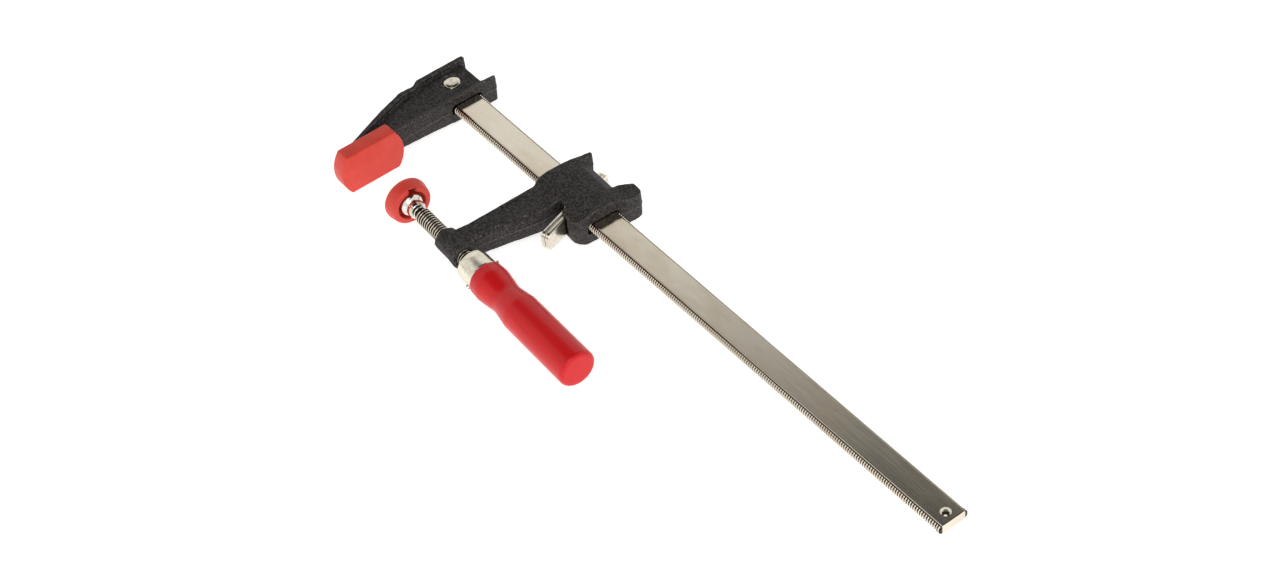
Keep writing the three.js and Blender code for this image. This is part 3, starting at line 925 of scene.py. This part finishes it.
def make_grip():
    """The turned grip: a tenon in the ferrule, a waist, and a straight barrel with a flat end."""
    bore = THREAD_RADIUS - THREAD_DEPTH + 0.35
    profile = rounded(
        [
            (FERRULE_FRONT + 1.6, bore),
            (FERRULE_FRONT + 1.6, 7),
            (FERRULE_FRONT + 2.4, 7.55),
            (GRIP_START + 0.35, 8.9),
            (GRIP_START + 0.35, 10.9, 0.7),
            (GRIP_START + 7.5, 11.35, 12),
            (GRIP_START + 21.5, 9.4, 16),
            (GRIP_START + 34, 11.35, 14),
            (GRIP_END, 11.4, 2.6),
            (GRIP_END, 0),
            (GRIP_START + 26, 0),
            (GRIP_START + 26, bore),
        ],
        12,
    )
    grip = turned("grip_made", profile, 128)
    cut(grip, across_screw(PIN_RADIUS + PIN_ROOM, 20))
    smooth(grip)
    keep(grip, "handle_grip_red", SCREW, "screw", "red_lacquered_wood", RED_WOOD, "handle_grip")


# ---- swivel pad ----
def make_socket():
    """The pressed steel cup over the ball, with a flange in front and a crimped collar behind."""
    mouth = 3.7
    cavity = BALL_RADIUS + 0.5
    outer = [
        (SOCKET_FRONT, 0),
        (SOCKET_FRONT, 9.6, 0.3),
        (SOCKET_FRONT + 1.5, 9.6, 0.5),
        (SOCKET_FRONT + 1.7, 7.5, 0.5),
        (SOCKET_FRONT + 6.9, 7.5, 4.2),
        (SOCKET_FRONT + 9.2, 4.8, 0.8),
        (SOCKET_FRONT + 10, 5.4, 0.5),
        (SOCKET_REAR, 5.2, 0.8),
        (SOCKET_REAR, mouth, 0.2),
    ]
    profile = rounded(outer, 7)
    arc_steps = 14
    mouth_angle = math.asin(mouth / cavity)
    for k in range(arc_steps + 1):
        angle = mouth_angle + (math.pi - mouth_angle) * k / arc_steps
        profile.append((BALL_X + cavity * math.cos(angle), max(0, cavity * math.sin(angle))))
    socket = turned("socket_made", profile, 72)
    slots = 6
    slot_start = SOCKET_REAR - 3.6
    slot_end = SOCKET_REAR + 1
    slot_floor = 4.75
    slot_half_width = 0.28
    outline = [(slot_start, slot_floor), (slot_end, slot_floor), (slot_end, 7), (slot_start, 7)]
    for k in range(slots):
        slit = prism("slit", outline, -slot_half_width, slot_half_width)
        cut(socket, moved(slit, turn(360 * k / slots + 10, "X")))
    smooth(socket)
    keep(socket, "swivel_socket_steel", SCREW, "swivel", "plated_steel", BRIGHT_STEEL, "swivel_socket")


def make_retaining_ring():
    """An open ring of wire round the neck of the screw."""
    steps = 60
    gap = math.radians(24)
    path = []
    for k in range(steps + 1):
        angle = gap / 2 + (2 * math.pi - gap) * k / steps
        path.append((RING_X, RING_RADIUS * math.cos(angle), RING_RADIUS * math.sin(angle)))
    ring = smooth(tube("ring", path, RING_WIRE), 60)
    keep(
        ring, "swivel_ring_wire", SCREW, "screw_carrier", "plated_steel", BRIGHT_STEEL,
        "swivel_retaining_ring",
    )


def make_swivel_cap():
    """The round plastic cap snapped over the socket's flange, with one notch in its mouth."""
    front = SOCKET_FRONT - 2
    back = front + 9
    opening = 9
    seat = SOCKET_FRONT + 2.2
    profile = rounded(
        [
            (front, 0),
            (front, 13.2, 1.4),
            (front + 2.6, 13.6, 3),
            (back, 12.4, 1.6),
            (back, opening, 0.5),
            (seat, opening),
            (seat, 7.9),
            (seat - 0.35, 7.9),
            (seat - 0.35, 10),
            (SOCKET_FRONT - 0.35, 10),
            (SOCKET_FRONT - 0.35, 0),
        ],
        8,
    )
    cap = turned("cap_made", profile, 96)
    half = 2.6
    outline = [(-half, -11.9), (half, -11.9), (half, -7), (-half, -7)]
    notch = prism("notch", outline, seat - 0.6, 0)
    cut(cap, moved(notch, turn(90, "Y"), turn(262, "X")))
    smooth(cap, 30)
    keep(cap, "swivel_cap_red", SCREW, "swivel", "red_plastic", RED_PLASTIC, "swivel_pad_cap")


make_bar()
make_fixed_jaw()
make_fixed_jaw_pin()
make_fixed_pad()
make_sliding_jaw()
make_clutch_plate("clutch_plate_inner", "plate_inner", -1)
make_clutch_plate("clutch_plate_outer", "plate_outer", 1)
make_clutch_spring()
make_spindle()
make_cross_pin()
make_ferrule()
make_grip()
make_socket()
make_retaining_ring()
make_swivel_cap()


# ---- floor, light and camera ----
def make_floor():
    """A wide, pale floor that glows a little, as a lit white table does."""
    size = 8
    corners = [(-size, -size, 0), (size, -size, 0), (size, size, 0), (-size, size, 0)]
    floor = solid("floor", corners, [(0, 1, 2, 3)])
    f = Finish("pale_floor", Roughness=0.9, Specular_IOR_Level=0.1)
    f.shader.inputs["Emission Color"].default_value = (1, 1, 1, 1)
    f.shader.inputs["Emission Strength"].default_value = 0.7
    floor.data.materials.append(f.use(Base_Color=(0.85, 0.85, 0.85, 1)))


def softbox(name, place, aim, width, height, radiance, colour=(1, 1, 1)):
    """A rectangular soft light at place, turned towards aim."""
    light = bpy.data.lights.new(name, "AREA")
    light.shape = "RECTANGLE"
    light.size = width
    light.size_y = height
    light.energy = radiance * math.pi * width * height
    light.color = colour
    obj = bpy.data.objects.new(name, light)
    obj.location = place
    obj.rotation_mode = "QUATERNION"
    obj.rotation_quaternion = (Vector(aim) - Vector(place)).to_track_quat("-Z", "Y")
    bpy.context.scene.collection.objects.link(obj)


def make_light():
    """A bright surround that darkens overhead, with soft boxes round the clamp.

    The surround changes where the top of the bar mirrors it, so the bar darkens to its free end.
    """
    bright_below = 0.7
    dark_above = 0.768
    bright = 0.97
    dark = 0.02
    world = bpy.data.worlds.new("studio")
    bpy.context.scene.world = world
    world.use_nodes = True
    nodes = world.node_tree.nodes
    links = world.node_tree.links
    direction = nodes.new("ShaderNodeTexCoord").outputs["Generated"]
    height = nodes.new("ShaderNodeSeparateXYZ")
    links.new(direction, height.inputs[0])
    fall = nodes.new("ShaderNodeMapRange")
    fall.interpolation_type = "SMOOTHSTEP"
    links.new(height.outputs[2], fall.inputs["Value"])
    for socket, number in zip(RANGE_SOCKETS, (bright_below, dark_above, bright, dark)):
        fall.inputs[socket].default_value = number
    background = nodes["Background"]
    background.inputs["Color"].default_value = (1, 0.99, 0.965, 1)
    links.new(fall.outputs[0], background.inputs["Strength"])
    softbox("key", (2.4, -0.9, 1.3), (0, 0, 0), 1.3, 1.3, 2.4)
    softbox("front_panel", (1.0, -0.8, 2.1), (-0.1, 0, 0), 1.5, 1.5, 1.4)
    softbox("left_panel", (-0.8, -2.2, 1.2), (0, 0, 0), 1.4, 1.2, 0.15)


def make_camera():
    """The main view: azimuth round from -Y, elevation above the floor and a slight roll."""
    azimuth = math.radians(CAMERA_AZIMUTH)
    elevation = math.radians(CAMERA_ELEVATION)
    roll = math.radians(CAMERA_ROLL)
    back = Vector(
        (
            math.sin(azimuth) * math.cos(elevation),
            -math.cos(azimuth) * math.cos(elevation),
            math.sin(elevation),
        )
    )
    level = Vector((math.cos(azimuth), math.sin(azimuth), 0))
    rise = back.cross(level)
    right = math.cos(roll) * level + math.sin(roll) * rise
    up = back.cross(right)
    data = bpy.data.cameras.new("camera")
    data.sensor_width = CAMERA_SENSOR
    data.lens = CAMERA_LENS
    data.clip_start = 0.05
    data.clip_end = 30
    camera = bpy.data.objects.new("camera", data)
    turned_to = Matrix((right, up, back)).transposed().to_4x4()
    camera.matrix_world = WORK @ Matrix.Translation(Vector(CAMERA_PLACE) * MM) @ turned_to
    bpy.context.scene.collection.objects.link(camera)
    bpy.context.scene.camera = camera


make_floor()
make_light()
make_camera()
bpy.context.scene.view_settings.view_transform = "Standard"
